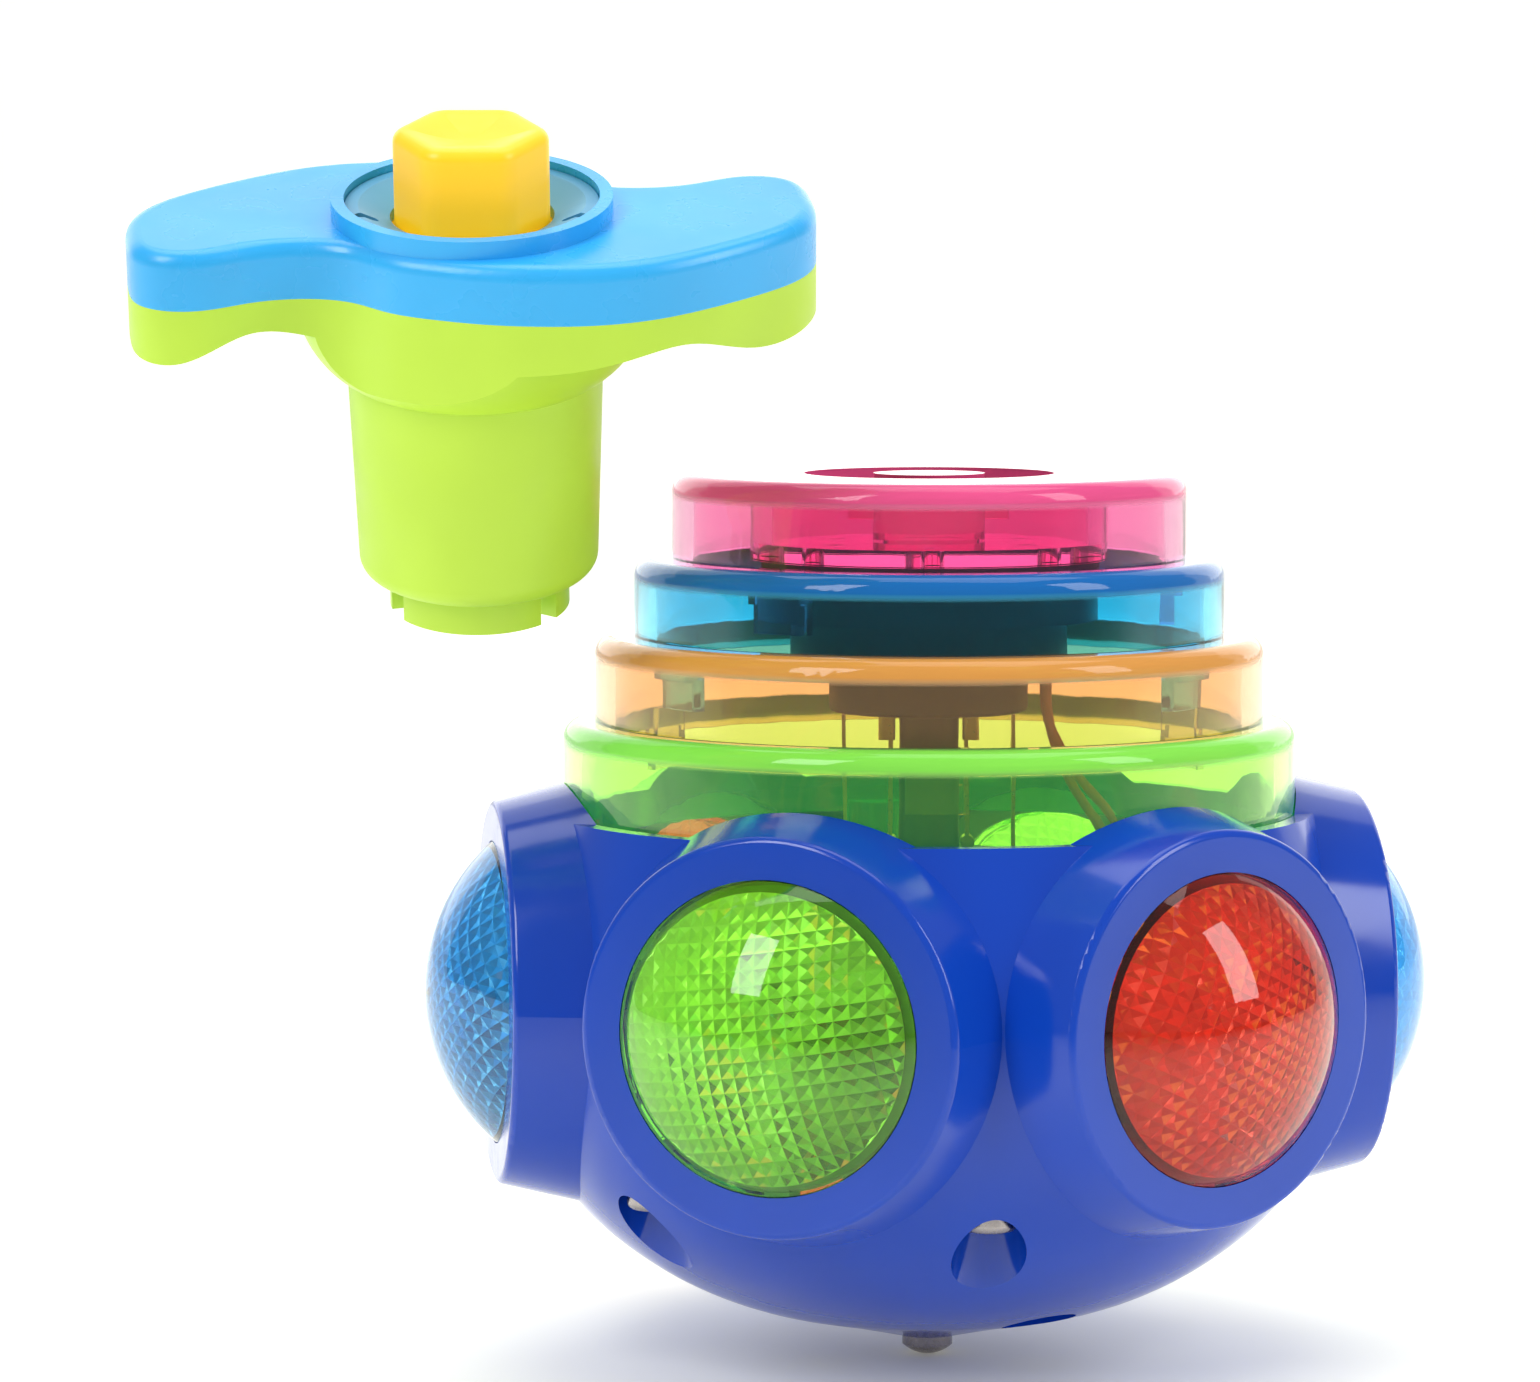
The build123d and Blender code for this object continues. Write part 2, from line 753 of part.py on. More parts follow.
def steel_tip():
    """A low dome that the top spins on, with its shank pressed into the battery cover"""
    dome = Pos(0, 0, tip_dome_radius) * Sphere(tip_dome_radius)
    tip = disc(tip_flange_radius, 0, tip_seat_height) & dome
    return tip + disc(tip_shank_radius, tip_dome_radius / 3, tip_seat_height + tip_shank_length)


# ---------------------------------------------------------------- the launcher
def blade_outline(inset):
    """Two swept blades, the same half a turn apart, as one closed outline moved in by inset"""
    shares = [
        (0.34, 0.59), (0.46, 0.53), (0.63, 0.60), (0.76, 0.73), (0.86, 0.74), (0.945, 0.64), (0.99, 0.38),
        (1.0, 0.08), (0.965, -0.15), (0.84, -0.45), (0.70, -0.68), (0.55, -0.87), (0.38, -0.98), (0.21, -1.0),
        (0.04, -0.96), (-0.10, -0.88), (-0.23, -0.76),
    ]
    half = [(x * blade_half_length, y * blade_half_width) for x, y in shares]
    points = half + [(-x, -y) for x, y in half]
    outline = Spline(*points, periodic=True)
    if inset:
        steps = 4 * len(points)
        tangents = [(outline @ (step / steps), outline % (step / steps)) for step in range(steps)]
        outline = Spline(*[at + Vector(along.Y, -along.X) * inset for at, along in tangents], periodic=True)
    return make_face(outline)


def grip_screw_places():
    return [(grip_screw_x, grip_screw_y), (-grip_screw_x, -grip_screw_y)]


def handle_top():
    shell = extrude(blade_outline(0), grip_top_thickness)
    shell = fillet(shell.edges().group_by(Axis.Z)[-1], grip_round)
    hollow = extrude(blade_outline(grip_wall), grip_top_thickness - grip_wall)
    shell -= hollow
    shell += ring(collar_radius, collar_bore_radius, 0, collar_height)
    for x, y in grip_screw_places():
        shell += Pos(x, y, 0) * disc(2.6, 0, grip_top_thickness - grip_wall / 2)
    shell -= disc(collar_bore_radius, -1, collar_height + 1)
    for x, y in grip_screw_places():
        shell -= Pos(x, y, 0) * disc(small_screw_shank_radius, -1, grip_screw_length - scoop_thickness)
    lip_top = dish_edge_height - dish_thickness
    return shell + ring(collar_bore_radius + 0.5, collar_bore_radius - 1.2, lip_top - 1.5, lip_top)


def button_dish():
    """The sloping plate round the button, resting on the lip inside the raised collar"""
    outer = collar_bore_radius - dish_fit
    hole = button_across_corners / 2 + button_hole_clearance
    edge, centre = dish_edge_height, dish_centre_height
    dish = spun_polygon(
        (outer, edge), (outer, edge - dish_thickness), (outer - 1.2, edge - dish_thickness),
        (hole, centre - dish_thickness), (hole, centre), (outer - 1.2, edge),
    )
    for side in (-1, 1):
        slot = Pos(side * dish_slot_distance, -dish_slot_offset, 0) * extrude(SlotOverall(2.2, 1.2), 20)
        dish -= slot
    return dish


def scoop_profile():
    """Side view of the grip's underside: deep ends, thin finger scoops, closed along the joint"""
    end, deep, thin = blade_half_length + 1, grip_bottom_thickness, scoop_thickness
    half = [(0.94 * end, -deep), (0.80 * end, -deep), (0.62 * end, -thin), (0.45 * end, -thin - 0.6)]
    left = [(-x, 0, z) for x, z in half]
    right = [(x, 0, z) for x, z in reversed(half)]
    bottom = Spline((-end, 0, 0.7 - deep), *left, (0, 0, -deep), *right, (end, 0, 0.7 - deep))
    sides = [Line((end, 0, 0.7 - deep), (end, 0, 0)), Line((end, 0, 0), (-end, 0, 0)),
             Line((-end, 0, 0), (-end, 0, 0.7 - deep))]
    return make_face([bottom.edge()] + sides)


def hub_and_barrel():
    """Funnel from the grip down to the barrel, then the barrel itself"""
    funnel_top = (hub_radius, 0, -scoop_thickness)
    crease = (barrel_top_radius, 0, -hub_height)
    middle = ((hub_radius + barrel_top_radius) / 2 + 0.3, 0, -(scoop_thickness + hub_height) / 2 - 1.2)
    barrel = spun(
        Line((0, 0, 0), (hub_radius, 0, 0)),
        Line((hub_radius, 0, 0), funnel_top),
        ThreePointArc(funnel_top, middle, crease),
        Line(crease, (barrel_bottom_radius, 0, -barrel_bottom_height)),
        Line((barrel_bottom_radius, 0, -barrel_bottom_height), (0, 0, -barrel_bottom_height)),
        Line((0, 0, -barrel_bottom_height), (0, 0, 0)),
    )
    return fillet(barrel.edges().group_by(Axis.Z)[0], barrel_edge_round)


def handle_bottom():
    grip = extrude(blade_outline(0), -grip_bottom_thickness - 1)
    scoops = extrude(scoop_profile(), blade_half_length, both=True)
    hub = hub_and_barrel() & (extrude(blade_outline(0), -60) + disc(barrel_top_radius, -60, 0))
    shell = (grip & scoops) + hub
    shell -= extrude(blade_outline(grip_wall), -scoop_thickness + grip_wall)
    shell -= disc(collar_bore_radius - 1.5, -seat_height + seat_thickness, 1)
    shell -= disc(barrel_bore_radius, -barrel_bottom_height + barrel_floor, 1)
    shell -= disc(coupler_radius() + coupler_gap, -60, 0)
    for x, y in grip_screw_places():
        post = Pos(x, y, 0) * disc(2.6, -scoop_thickness, 0)
        bore = Pos(x, y, 0) * disc(small_screw_shank_radius + 0.1, -60, 1)
        head = Pos(x, y, 0) * disc(small_screw_head_radius + 0.3, -60, -scoop_thickness + 0.8)
        shell = shell + post - bore - head
    return shell


def handle_screws():
    screw = pan_screw(
        small_screw_head_radius, small_screw_head_height, small_screw_shank_radius, grip_screw_length - 1.2
    )
    lift = -scoop_thickness + 0.8
    return joined([Pos(x, y, lift) * screw for x, y in grip_screw_places()])


def button_flange_top():
    return dish_centre_height - dish_thickness - button_flange_gap


def launch_button():
    """A rounded six-sided cap with a hollow top, and the flange that keeps it under the dish"""
    flange_top = button_flange_top()
    hexagon = RegularPolygon(button_across_corners / 2, 6)
    hexagon = fillet(hexagon.vertices(), button_corner_round)
    cap = extrude(hexagon, button_top_height)
    cap = fillet(cap.edges().group_by(Axis.Z)[-1], 0.8)
    ball = (5.0**2 + button_dish_depth**2) / (2 * button_dish_depth)
    cap -= Pos(0, 0, button_top_height + ball - button_dish_depth) * Sphere(ball)
    cap -= disc(button_across_corners, -1, flange_top - 0.2)
    flange = disc(button_flange_radius, flange_top - button_flange_thickness, flange_top)
    return cap + flange - disc(rod_radius, -20, button_top_height - 4)


def rod_bottom():
    return barrel_bottom_height + claw_length - button_travel - 0.4


def plunger_rod():
    """Pushes the top off the claws when the button goes down"""
    rod = disc(rod_radius, -rod_bottom(), button_top_height - 4)
    return fillet(rod.edges().group_by(Axis.Z)[0], 0.5)


def spring_seat():
    """A plate in the hub: the return spring stands on it and the power spring turns below it"""
    outer = collar_bore_radius - 1.5 - 0.05
    return ring(outer, rod_radius + 0.35, -seat_height + seat_thickness, -seat_height + 2 * seat_thickness)


def return_spring_bounds():
    return -seat_height + 2 * seat_thickness, button_flange_top() - button_flange_thickness


def return_spring():
    """Coil spring between the seat plate and the button's flange"""
    bottom, top = return_spring_bounds()
    wire = return_spring_wire / 2
    radius = return_spring_radius - wire
    height = top - bottom - 2 * wire
    pitch = height / return_spring_turns
    path = Helix(pitch, height, radius, center=(0, 0, bottom + wire))
    return sweep(Plane(path @ 0, z_dir=path % 0) * Circle(wire), path=path, is_frenet=True)


def power_spring_top():
    return -seat_height + seat_thickness - power_spring_gap


def power_spring():
    """A flat strip wound round the arbor, its outer end against the barrel's bore"""
    outer = barrel_bore_radius - 0.15
    steps = power_spring_turns * 12
    growth = (outer - power_spring_inner_radius) / steps
    points = []
    for step in range(steps + 1):
        angle = 2 * pi * step / 12
        radius = power_spring_inner_radius + growth * step - power_spring_thickness / 2
        points.append((radius * cos(angle), radius * sin(angle)))
    centre_line = Spline(*points)
    strip = trace(centre_line, line_width=power_spring_thickness)
    return Pos(0, 0, power_spring_top() - power_spring_height) * extrude(strip, power_spring_height)


def coupler_radius():
    """The claws fit between the top's boss and the bore of its socket"""
    return 8.4


def spring_arbor():
    """Hollow shaft from the power spring down to the coupler"""
    top = power_spring_top()
    bottom = -barrel_bottom_height + 1.0
    inner = rod_radius + rod_fit
    return ring(arbor_radius, inner, bottom, top)


def coupler_washer():
    """Thrust washer between the coupler's flange and the barrel's floor"""
    bottom = -barrel_bottom_height + barrel_floor
    return ring(barrel_bore_radius - 0.15, coupler_radius() + coupler_gap, bottom, bottom + washer_thickness)


def claw(start, sweep_angle):
    """A ramped claw: a stretch of ring whose end face slopes up away from its square face"""
    outer = coupler_radius()
    bottom = -barrel_bottom_height - claw_length
    top = -barrel_bottom_height + 0.5
    body = ring(outer, coupler_bore_radius, bottom, top)
    corners = sector_points(start, sweep_angle, outer * 2)
    keep = Pos(0, 0, bottom - 1) * extrude(make_face(Polyline(*corners, close=True)), claw_length + 4)
    slope = degrees(atan2(claw_ramp_rise, outer * radians(sweep_angle)))
    middle = start + sweep_angle
    cutter = Pos(0, 0, bottom) * Rot(0, 0, middle) * Rot(slope, 0, 0) * block(60, 60, -20, 0)
    return (body & keep) - cutter


def sector_points(start, sweep_angle, reach):
    count = max(2, ceil(sweep_angle / 30))
    angles = [radians(start + sweep_angle * index / count) for index in range(count + 1)]
    return [(0, 0)] + [(reach * cos(angle), reach * sin(angle)) for angle in angles]


def drive_coupler():
    """Turns inside the barrel's mouth: a flange inside, and claws that stand out below it"""
    outer = coupler_radius()
    floor_top = -barrel_bottom_height + barrel_floor + washer_thickness + 0.1
    flange_top = floor_top + coupler_flange_thickness
    flange = ring(barrel_bore_radius - 0.35, arbor_radius, floor_top, flange_top)
    web = ring(outer, arbor_radius, -barrel_bottom_height + 1.0, floor_top + 0.1)
    skirt = ring(outer, coupler_bore_radius, -barrel_bottom_height, -barrel_bottom_height + 1.5)
    coupler = flange + web + skirt
    for start, sweep_angle in ((170, 25), (215, 100), (330, 60), (60, 60)):
        coupler += claw(start, sweep_angle)
    return coupler


# ---------------------------------------------------------------- writing
os.makedirs("parts", exist_ok=True)

top_nodes = {
    "lower_bowl": lower_bowl(),
    "tier_lime": tier_lime(),
    "tier_orange": tier_orange(),
    "tier_blue": tier_blue(),
    "tier_pink": tier_pink(),
    "case_screws": case_screws(),
    "battery_cover": battery_cover(),
    "battery_cover_screws": battery_cover_screws(),
    "cover_contact": cover_contact(),
    "button_cells": button_cells(),
    "battery_contacts": battery_contacts(),
    "battery_holder": battery_holder(),
    "circuit_board": circuit_board(),
    "board_screws": board_screws(),
    "sound_chip": sound_chip(),
    "centre_post": centre_post(),
    "switch_contacts": switch_contacts(),
    "switch_arm_right": switch_arm(1),
    "switch_arm_left": switch_arm(-1),
    "speaker_frame": speaker_frame(),
    "speaker_cone": speaker_cone(),
    "speaker_magnet": speaker_magnet(),
    "speaker_gasket": speaker_gasket(),
    "speaker_wires": speaker_wires(),
    "led_wires": led_wires(),
    "steel_tip": steel_tip(),
}
for lens_name, lens_turn in lens_azimuth.items():
    top_nodes[f"lens_{lens_name}"] = turned(lens(), lens_turn)
    top_nodes[f"lens_retainer_{lens_name}"] = turned(lens_retainer(), lens_turn)
    top_nodes[f"led_{lens_name}"] = turned(led(), lens_turn)

launcher_nodes = {
    "handle_top": handle_top(),
    "handle_bottom": handle_bottom(),
    "handle_screws": handle_screws(),
    "button_dish": button_dish(),
    "launch_button": launch_button(),
    "plunger_rod": plunger_rod(),
    "return_spring": return_spring(),
    "spring_seat": spring_seat(),
    "power_spring": power_spring(),
    "spring_arbor": spring_arbor(),
    "coupler_washer": coupler_washer(),
    "drive_coupler": drive_coupler(),
}
launcher_place = Pos(launcher_x, launcher_y, launcher_z) * Rot(launcher_tilt, 0, 0)

for node_name, shape in top_nodes.items():
    export_step(shape, f"parts/{node_name}.step")
for node_name, shape in launcher_nodes.items():
    export_step(launcher_place * shape, f"parts/{node_name}.step")
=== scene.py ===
import json
from math import atan, cos, pi, radians, sin, sqrt

import bmesh
import bpy
from mathutils import Matrix, Vector


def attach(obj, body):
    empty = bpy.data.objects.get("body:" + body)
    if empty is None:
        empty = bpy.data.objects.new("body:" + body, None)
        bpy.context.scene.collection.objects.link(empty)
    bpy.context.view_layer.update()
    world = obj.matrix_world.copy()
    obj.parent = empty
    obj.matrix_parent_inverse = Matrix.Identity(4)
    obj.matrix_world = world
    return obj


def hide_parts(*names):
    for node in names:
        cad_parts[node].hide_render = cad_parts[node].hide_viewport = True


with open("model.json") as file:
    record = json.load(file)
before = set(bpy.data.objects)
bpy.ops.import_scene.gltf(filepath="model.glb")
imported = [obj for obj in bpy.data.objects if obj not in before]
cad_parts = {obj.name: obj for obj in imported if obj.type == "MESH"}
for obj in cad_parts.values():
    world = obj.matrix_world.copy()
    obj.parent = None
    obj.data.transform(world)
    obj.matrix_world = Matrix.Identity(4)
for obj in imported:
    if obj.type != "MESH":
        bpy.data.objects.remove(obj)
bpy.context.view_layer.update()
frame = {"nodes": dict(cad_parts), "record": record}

MM = 0.001
NODES = frame["nodes"]

# Spinning top: where the lenses sit round the spin axis, in millimetres and degrees
FIRST_LENS_AZIMUTH = -21.7
LENS_NAMES = ("front_green", "front_red", "right_blue", "rear_green", "rear_red", "left_blue")
LENS_HEIGHT = 36.4
TIER_WALL = 2.0
TIER_TOP = {"lime": 62.3, "orange": 70.5, "blue": 78.0, "pink": 86.2}
BEZEL_FACE = 42.5
LENS_SEAT_DEPTH = 2.2
LENS_CHORD = 14.5
LENS_DOME = 6.6
LENS_FLANGE = 16.0
LENS_FLANGE_THICKNESS = 1.4
LENS_WALL = 1.5
DOME_RINGS = 18
PYRAMID_PITCH = 1.32
PYRAMID_DEPTH = 0.36
FACET_MIDDLE = 0.52  # how much painted light the sides of the pyramids get, as a share
FACET_SPREAD = 0.48
# the direction the painted light on the pyramid sides comes from
FACET_LIGHT = Vector((-0.8, 0.6))
PYRAMID_TURN = {"green": 8.0, "red": 63.0, "blue": 35.0}

# Launcher: its leaning frame and its button, in millimetres
LAUNCHER_PLACE = Matrix.Translation((-0.0426, -0.0300, 0.10635)) @ Matrix.Rotation(radians(19.0), 4, "X")
BUTTON_RADIUS = 7.125
BUTTON_CORNER = 2.6
BUTTON_TOP = 13.4
BUTTON_RIM = 1.1
BUTTON_HOLLOW = 1.1
BUTTON_FLANGE = 8.6
BUTTON_FLANGE_TOP = 3.9
BUTTON_FLANGE_THICKNESS = 1.4


# ---------------------------------------------------------------- materials
class Finish:
    """One material being built: its node tree, its shader and the object coordinates"""

    def __init__(self, name):
        self.material = bpy.data.materials.new(name)
        self.material.use_nodes = True
        self.tree = self.material.node_tree
        self.shader = self.tree.nodes["Principled BSDF"]
        self.place = self.tree.nodes.new("ShaderNodeTexCoord").outputs["Object"]

    def set(self, **values):
        for name, value in values.items():
            self.shader.inputs[name.replace("_", " ")].default_value = value
        return self

    def node(self, kind, **settings):
        made = self.tree.nodes.new(kind)
        for name, value in settings.items():
            setattr(made, name, value)
        return made

    def link(self, output, target):
        self.tree.links.new(output, target)

    def noise(self, size_mm, detail=3.0, stretch=(1, 1, 1)):
        """Soft noise whose blobs are about size_mm across"""
        spread = self.node("ShaderNodeMapping")
        spread.inputs["Scale"].default_value = stretch
        self.link(self.place, spread.inputs["Vector"])
        noise = self.node("ShaderNodeTexNoise")
        noise.inputs["Scale"].default_value = 1 / (size_mm * MM)
        noise.inputs["Detail"].default_value = detail
        self.link(spread.outputs["Vector"], noise.inputs["Vector"])
        return noise.outputs["Fac"]

    def spread(self, fac, low, high):
        """The factor remapped from its middle range to low..high"""
        remap = self.node("ShaderNodeMapRange")
        remap.inputs["From Min"].default_value = 0.3
        remap.inputs["From Max"].default_value = 0.7
        remap.inputs["To Min"].default_value = low
        remap.inputs["To Max"].default_value = high
        self.link(fac, remap.inputs["Value"])
        return remap.outputs["Result"]

    def blend_colour(self, fac, first, second):
        ramp = self.node("ShaderNodeMix", data_type="RGBA")
        ramp.inputs["A"].default_value = (*first, 1)
        ramp.inputs["B"].default_value = (*second, 1)
        self.link(fac, ramp.inputs["Factor"])
        self.link(ramp.outputs["Result"], self.shader.inputs["Base Color"])
        return self

    def bump(self, fac, depth_mm):
        relief = self.node("ShaderNodeBump")
        relief.inputs["Strength"].default_value = 1.0
        relief.inputs["Distance"].default_value = depth_mm * MM
        self.link(fac, relief.inputs["Height"])
        self.link(relief.outputs["Normal"], self.shader.inputs["Normal"])
        return self

    def roughness(self, fac, low, high):
        self.link(self.spread(fac, low, high), self.shader.inputs["Roughness"])
        return self


def shade(colour, factor):
    return tuple(min(1.0, value * factor) for value in colour)


def moulded(name, colour, low, high, gloss=0.5, painted_glow=0.0):
    """Opaque moulded plastic: faint flow marks, satin patches, a slight orange peel and some painted glow,
    an even emission that brightens it as if lit through the plastic
    """
    finish = Finish(name).set(IOR=1.5, Specular_IOR_Level=gloss)
    # painted glow: an even emission in the plastic's own colour, though it is no lamp
    finish.set(Emission_Color=(*colour, 1), Emission_Strength=painted_glow)
    flow = finish.noise(16, 2.0, (1, 1, 0.5))
    finish.blend_colour(finish.spread(flow, 0, 1), shade(colour, 0.93), shade(colour, 1.05))
    finish.roughness(finish.noise(5), low, high)
    return finish.bump(finish.noise(2.2, 1.0), 0.004).material


def clear(name, colour, body, wave_mm=0.05):
    """Clear tinted plastic with slightly wavy faces; body is how much of it scatters light instead"""
    finish = Finish(name).set(IOR=1.49, Specular_IOR_Level=0.25, Roughness=0.02)
    finish.set(Transmission_Weight=1 - body)
    milk = finish.noise(9, 2.0)
    finish.blend_colour(finish.spread(milk, 0, 1), shade(colour, 0.98), shade(colour, 1.01))
    finish.bump(finish.noise(5, 1.5, (1, 1, 0.35)), wave_mm)
    return finish


def clear_tier(name, colour, ledge_colour, top_mm, body=0.08, ledge_body=0.8, painted_glow=(0, 0, 0)):
    """Clear plastic with a milkier, deeper coloured ledge painted round its top, standing in for the light
    that gathers there; a painted glow can be added too
    """
    # painted glow: an even emission at strength 1, black unless a colour is given
    finish = clear(name, colour, body).set(Emission_Color=(*painted_glow, 1), Emission_Strength=1.0)
    height = finish.node("ShaderNodeSeparateXYZ")
    finish.link(finish.place, height.inputs["Vector"])
    # painted light in the ledge: a band just below the top gets a deeper colour and more scatter
    ledge = finish.node("ShaderNodeMapRange")
    ledge.inputs["From Min"].default_value = (top_mm - TIER_WALL - 0.5) * MM
    ledge.inputs["From Max"].default_value = (top_mm - TIER_WALL + 0.3) * MM
    finish.link(height.outputs["Z"], ledge.inputs["Value"])
    clearness = finish.node("ShaderNodeMapRange")
    clearness.inputs["To Min"].default_value = 1 - body
    clearness.inputs["To Max"].default_value = 1 - ledge_body
    finish.link(ledge.outputs["Result"], clearness.inputs["Value"])
    finish.link(clearness.outputs["Result"], finish.shader.inputs["Transmission Weight"])
    return finish.blend_colour(ledge.outputs["Result"], colour, ledge_colour).material


def lens_finish(name, colour, painted_glow_colour, body=0.02, facet_body=0.5, facet_painted_glow=0.42):
    """A clear dome over pyramids, whose sides glow more or less with painted light, by how each faces
    FACET_LIGHT
    """
    finish = clear(name, colour, body, 0.01).set(Emission_Color=(*painted_glow_colour, 1))
    painted_light_attribute = finish.node("ShaderNodeAttribute", attribute_name="painted_facet_light")
    clearness = finish.node("ShaderNodeMapRange")
    clearness.inputs["From Max"].default_value = 0.1
    clearness.inputs["To Min"].default_value = 1 - body
    clearness.inputs["To Max"].default_value = 1 - facet_body
    finish.link(painted_light_attribute.outputs["Fac"], clearness.inputs["Value"])
    finish.link(clearness.outputs["Result"], finish.shader.inputs["Transmission Weight"])
    # painted light: each pyramid side glows by its stored share of painted light
    painted_glow = finish.node("ShaderNodeMapRange")
    painted_glow.inputs["To Max"].default_value = facet_painted_glow
    finish.link(painted_light_attribute.outputs["Fac"], painted_glow.inputs["Value"])
    finish.link(painted_glow.outputs["Result"], finish.shader.inputs["Emission Strength"])
    return finish.material


def metal(name, colour, low, high):
    """Bright metal with fine grain"""
    finish = Finish(name).set(Metallic=1.0)
    flow = finish.noise(3)
    finish.blend_colour(finish.spread(flow, 0, 1), shade(colour, 0.9), shade(colour, 1.05))
    finish.roughness(finish.noise(0.5, 4.0), low, high)
    return finish.bump(finish.noise(0.3, 2.0), 0.004).material


def soft(name, colour, size_mm=0.5, depth_mm=0.05, rough=0.8):
    """Matt paper, foam or insulation with a fine tooth"""
    finish = Finish(name).set(IOR=1.45)
    finish.blend_colour(finish.spread(finish.noise(4), 0, 1), shade(colour, 0.8), shade(colour, 1.15))
    finish.roughness(finish.noise(2), rough - 0.1, rough + 0.1)
    return finish.bump(finish.noise(size_mm, 3.0), depth_mm).material


def circuit_lacquer():
    """Green solder lacquer with paler copper tracks under it"""
    finish = Finish("board_lacquer").set(IOR=1.5, Coat_Weight=0.4)
    tracks = finish.node("ShaderNodeTexBrick")
    tracks.inputs["Scale"].default_value = 180
    tracks.inputs["Mortar Size"].default_value = 0.06
    finish.link(finish.place, tracks.inputs["Vector"])
    finish.blend_colour(tracks.outputs["Fac"], (0.008, 0.09, 0.03), (0.05, 0.24, 0.07))
    finish.roughness(finish.noise(3), 0.3, 0.42)
    return finish.bump(tracks.outputs["Fac"], 0.03).material


PINK = (1.0, 0.43, 0.68)
BLUE = (0.13, 0.68, 0.92)
ORANGE = (1.0, 0.66, 0.38)
LIME = (0.62, 0.98, 0.26)

FINISHES = {
    "bowl_blue": moulded("bowl_plastic", (0.003, 0.050, 0.44), 0.10, 0.18, gloss=0.45),
    # the lime tier gets a faint painted glow, so the inside seen through it looks lit
    "clear_lime": clear_tier("lime_clear", LIME, (0.28, 0.80, 0.08), TIER_TOP["lime"], 0.03,
                             painted_glow=(0.0, 0.040, 0.014)),
    "clear_orange": clear_tier("orange_clear", ORANGE, (0.80, 0.36, 0.08), TIER_TOP["orange"]),
    "clear_blue": clear_tier("blue_clear", BLUE, (0.01, 0.16, 0.52), TIER_TOP["blue"], 0.03),
    "clear_pink": clear_tier("pink_clear", PINK, (0.88, 0.10, 0.30), TIER_TOP["pink"], 0.04),
    "lens_green": lens_finish("green_lens", (0.50, 0.95, 0.20), (0.38, 0.74, 0.07)),
    "lens_red": lens_finish("red_lens", (0.98, 0.15, 0.09), (0.46, 0.07, 0.03)),
    "lens_blue": lens_finish("blue_lens", (0.14, 0.60, 0.95), (0.03, 0.30, 0.60)),
    "led_clear": clear("led_epoxy", (0.95, 0.97, 0.95), 0.05, 0.01).material,
    "ferrite_black": moulded("sintered_ferrite", (0.02, 0.02, 0.022), 0.45, 0.6),
    "white_plastic": moulded("white_plastic", (0.82, 0.82, 0.80), 0.35, 0.5),
    "black_plastic": moulded("black_plastic", (0.014, 0.014, 0.018), 0.3, 0.45),
    "steel": metal("zinc_steel", (0.62, 0.62, 0.63), 0.25, 0.4),
    "nickel": metal("nickel_plate", (0.34, 0.31, 0.32), 0.2, 0.34),
    "brass": metal("brass_strip", (0.80, 0.52, 0.25), 0.25, 0.4),
    "board_green": circuit_lacquer(),
    "paper_black": soft("cone_paper", (0.03, 0.03, 0.03)),
    "foam_black": soft("gasket_foam", (0.02, 0.02, 0.02), 0.8, 0.1, 0.9),
    "wire_orange": soft("orange_insulation", (0.85, 0.30, 0.07), 0.6, 0.01, 0.45),
    "wire_red": soft("red_insulation", (0.62, 0.03, 0.02), 0.6, 0.01, 0.45),
    "handle_blue": moulded("handle_blue_plastic", (0.03, 0.42, 0.88), 0.24, 0.34),
    "handle_lime": moulded("handle_lime_plastic", (0.50, 0.76, 0.05), 0.40, 0.52),
    # the button gets a painted glow that brightens its shaded front
    "button_yellow": moulded("button_plastic", (1.0, 0.56, 0.010), 0.32, 0.44, painted_glow=0.28),
    "dish_teal": moulded("dish_plastic", (0.09, 0.36, 0.60), 0.35, 0.5),
}


def dress_cad_nodes():
    """Gives every CAD node the finish of its material slot"""
    for entry in frame["record"]["subparts"]:
        mesh = NODES[entry["node"]].data
        mesh.materials.clear()
        mesh.materials.append(FINISHES[entry["material_slot"]])


# ---------------------------------------------------------------- new pieces
def finished(name, bm, slot, body, smooth_angle=35.0):
    """Makes the bmesh a piece of the object: normals out, finish, shading and the body it rides on"""
    bmesh.ops.remove_doubles(bm, verts=bm.verts, dist=0.002 * MM)
    bmesh.ops.recalc_face_normals(bm, faces=bm.faces)
    mesh = bpy.data.meshes.new(name)
    bm.to_mesh(mesh)
    bm.free()
    mesh.materials.append(FINISHES[slot])
    for polygon in mesh.polygons:
        polygon.use_smooth = True
    mesh.set_sharp_from_angle(angle=radians(smooth_angle))
    piece = bpy.data.objects.new(name, mesh)
    bpy.context.scene.collection.objects.link(piece)
    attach(piece, body)
    return piece


def lens_place(index):
    """From a lens's own frame, with +Z outwards from its seat, to the row frame"""
    azimuth = radians(FIRST_LENS_AZIMUTH + 60 * index)
    out = Matrix.Translation((0, -(BEZEL_FACE - LENS_SEAT_DEPTH) * MM, LENS_HEIGHT * MM))
    return Matrix.Rotation(azimuth, 4, "Z") @ out @ Matrix.Rotation(pi / 2, 4, "X")


def extrude_rim(bm, edges, radius, height):
    """Grows the rim by one ring of faces, out or in to radius and to height"""
    grown = bmesh.ops.extrude_edge_only(bm, edges=edges)["geom"]
    for vert in (item for item in grown if isinstance(item, bmesh.types.BMVert)):
        flat = Vector((vert.co.x, vert.co.y)).normalized() * radius * MM
        vert.co = Vector((flat.x, flat.y, height * MM))
    return [item for item in grown if isinstance(item, bmesh.types.BMEdge)]


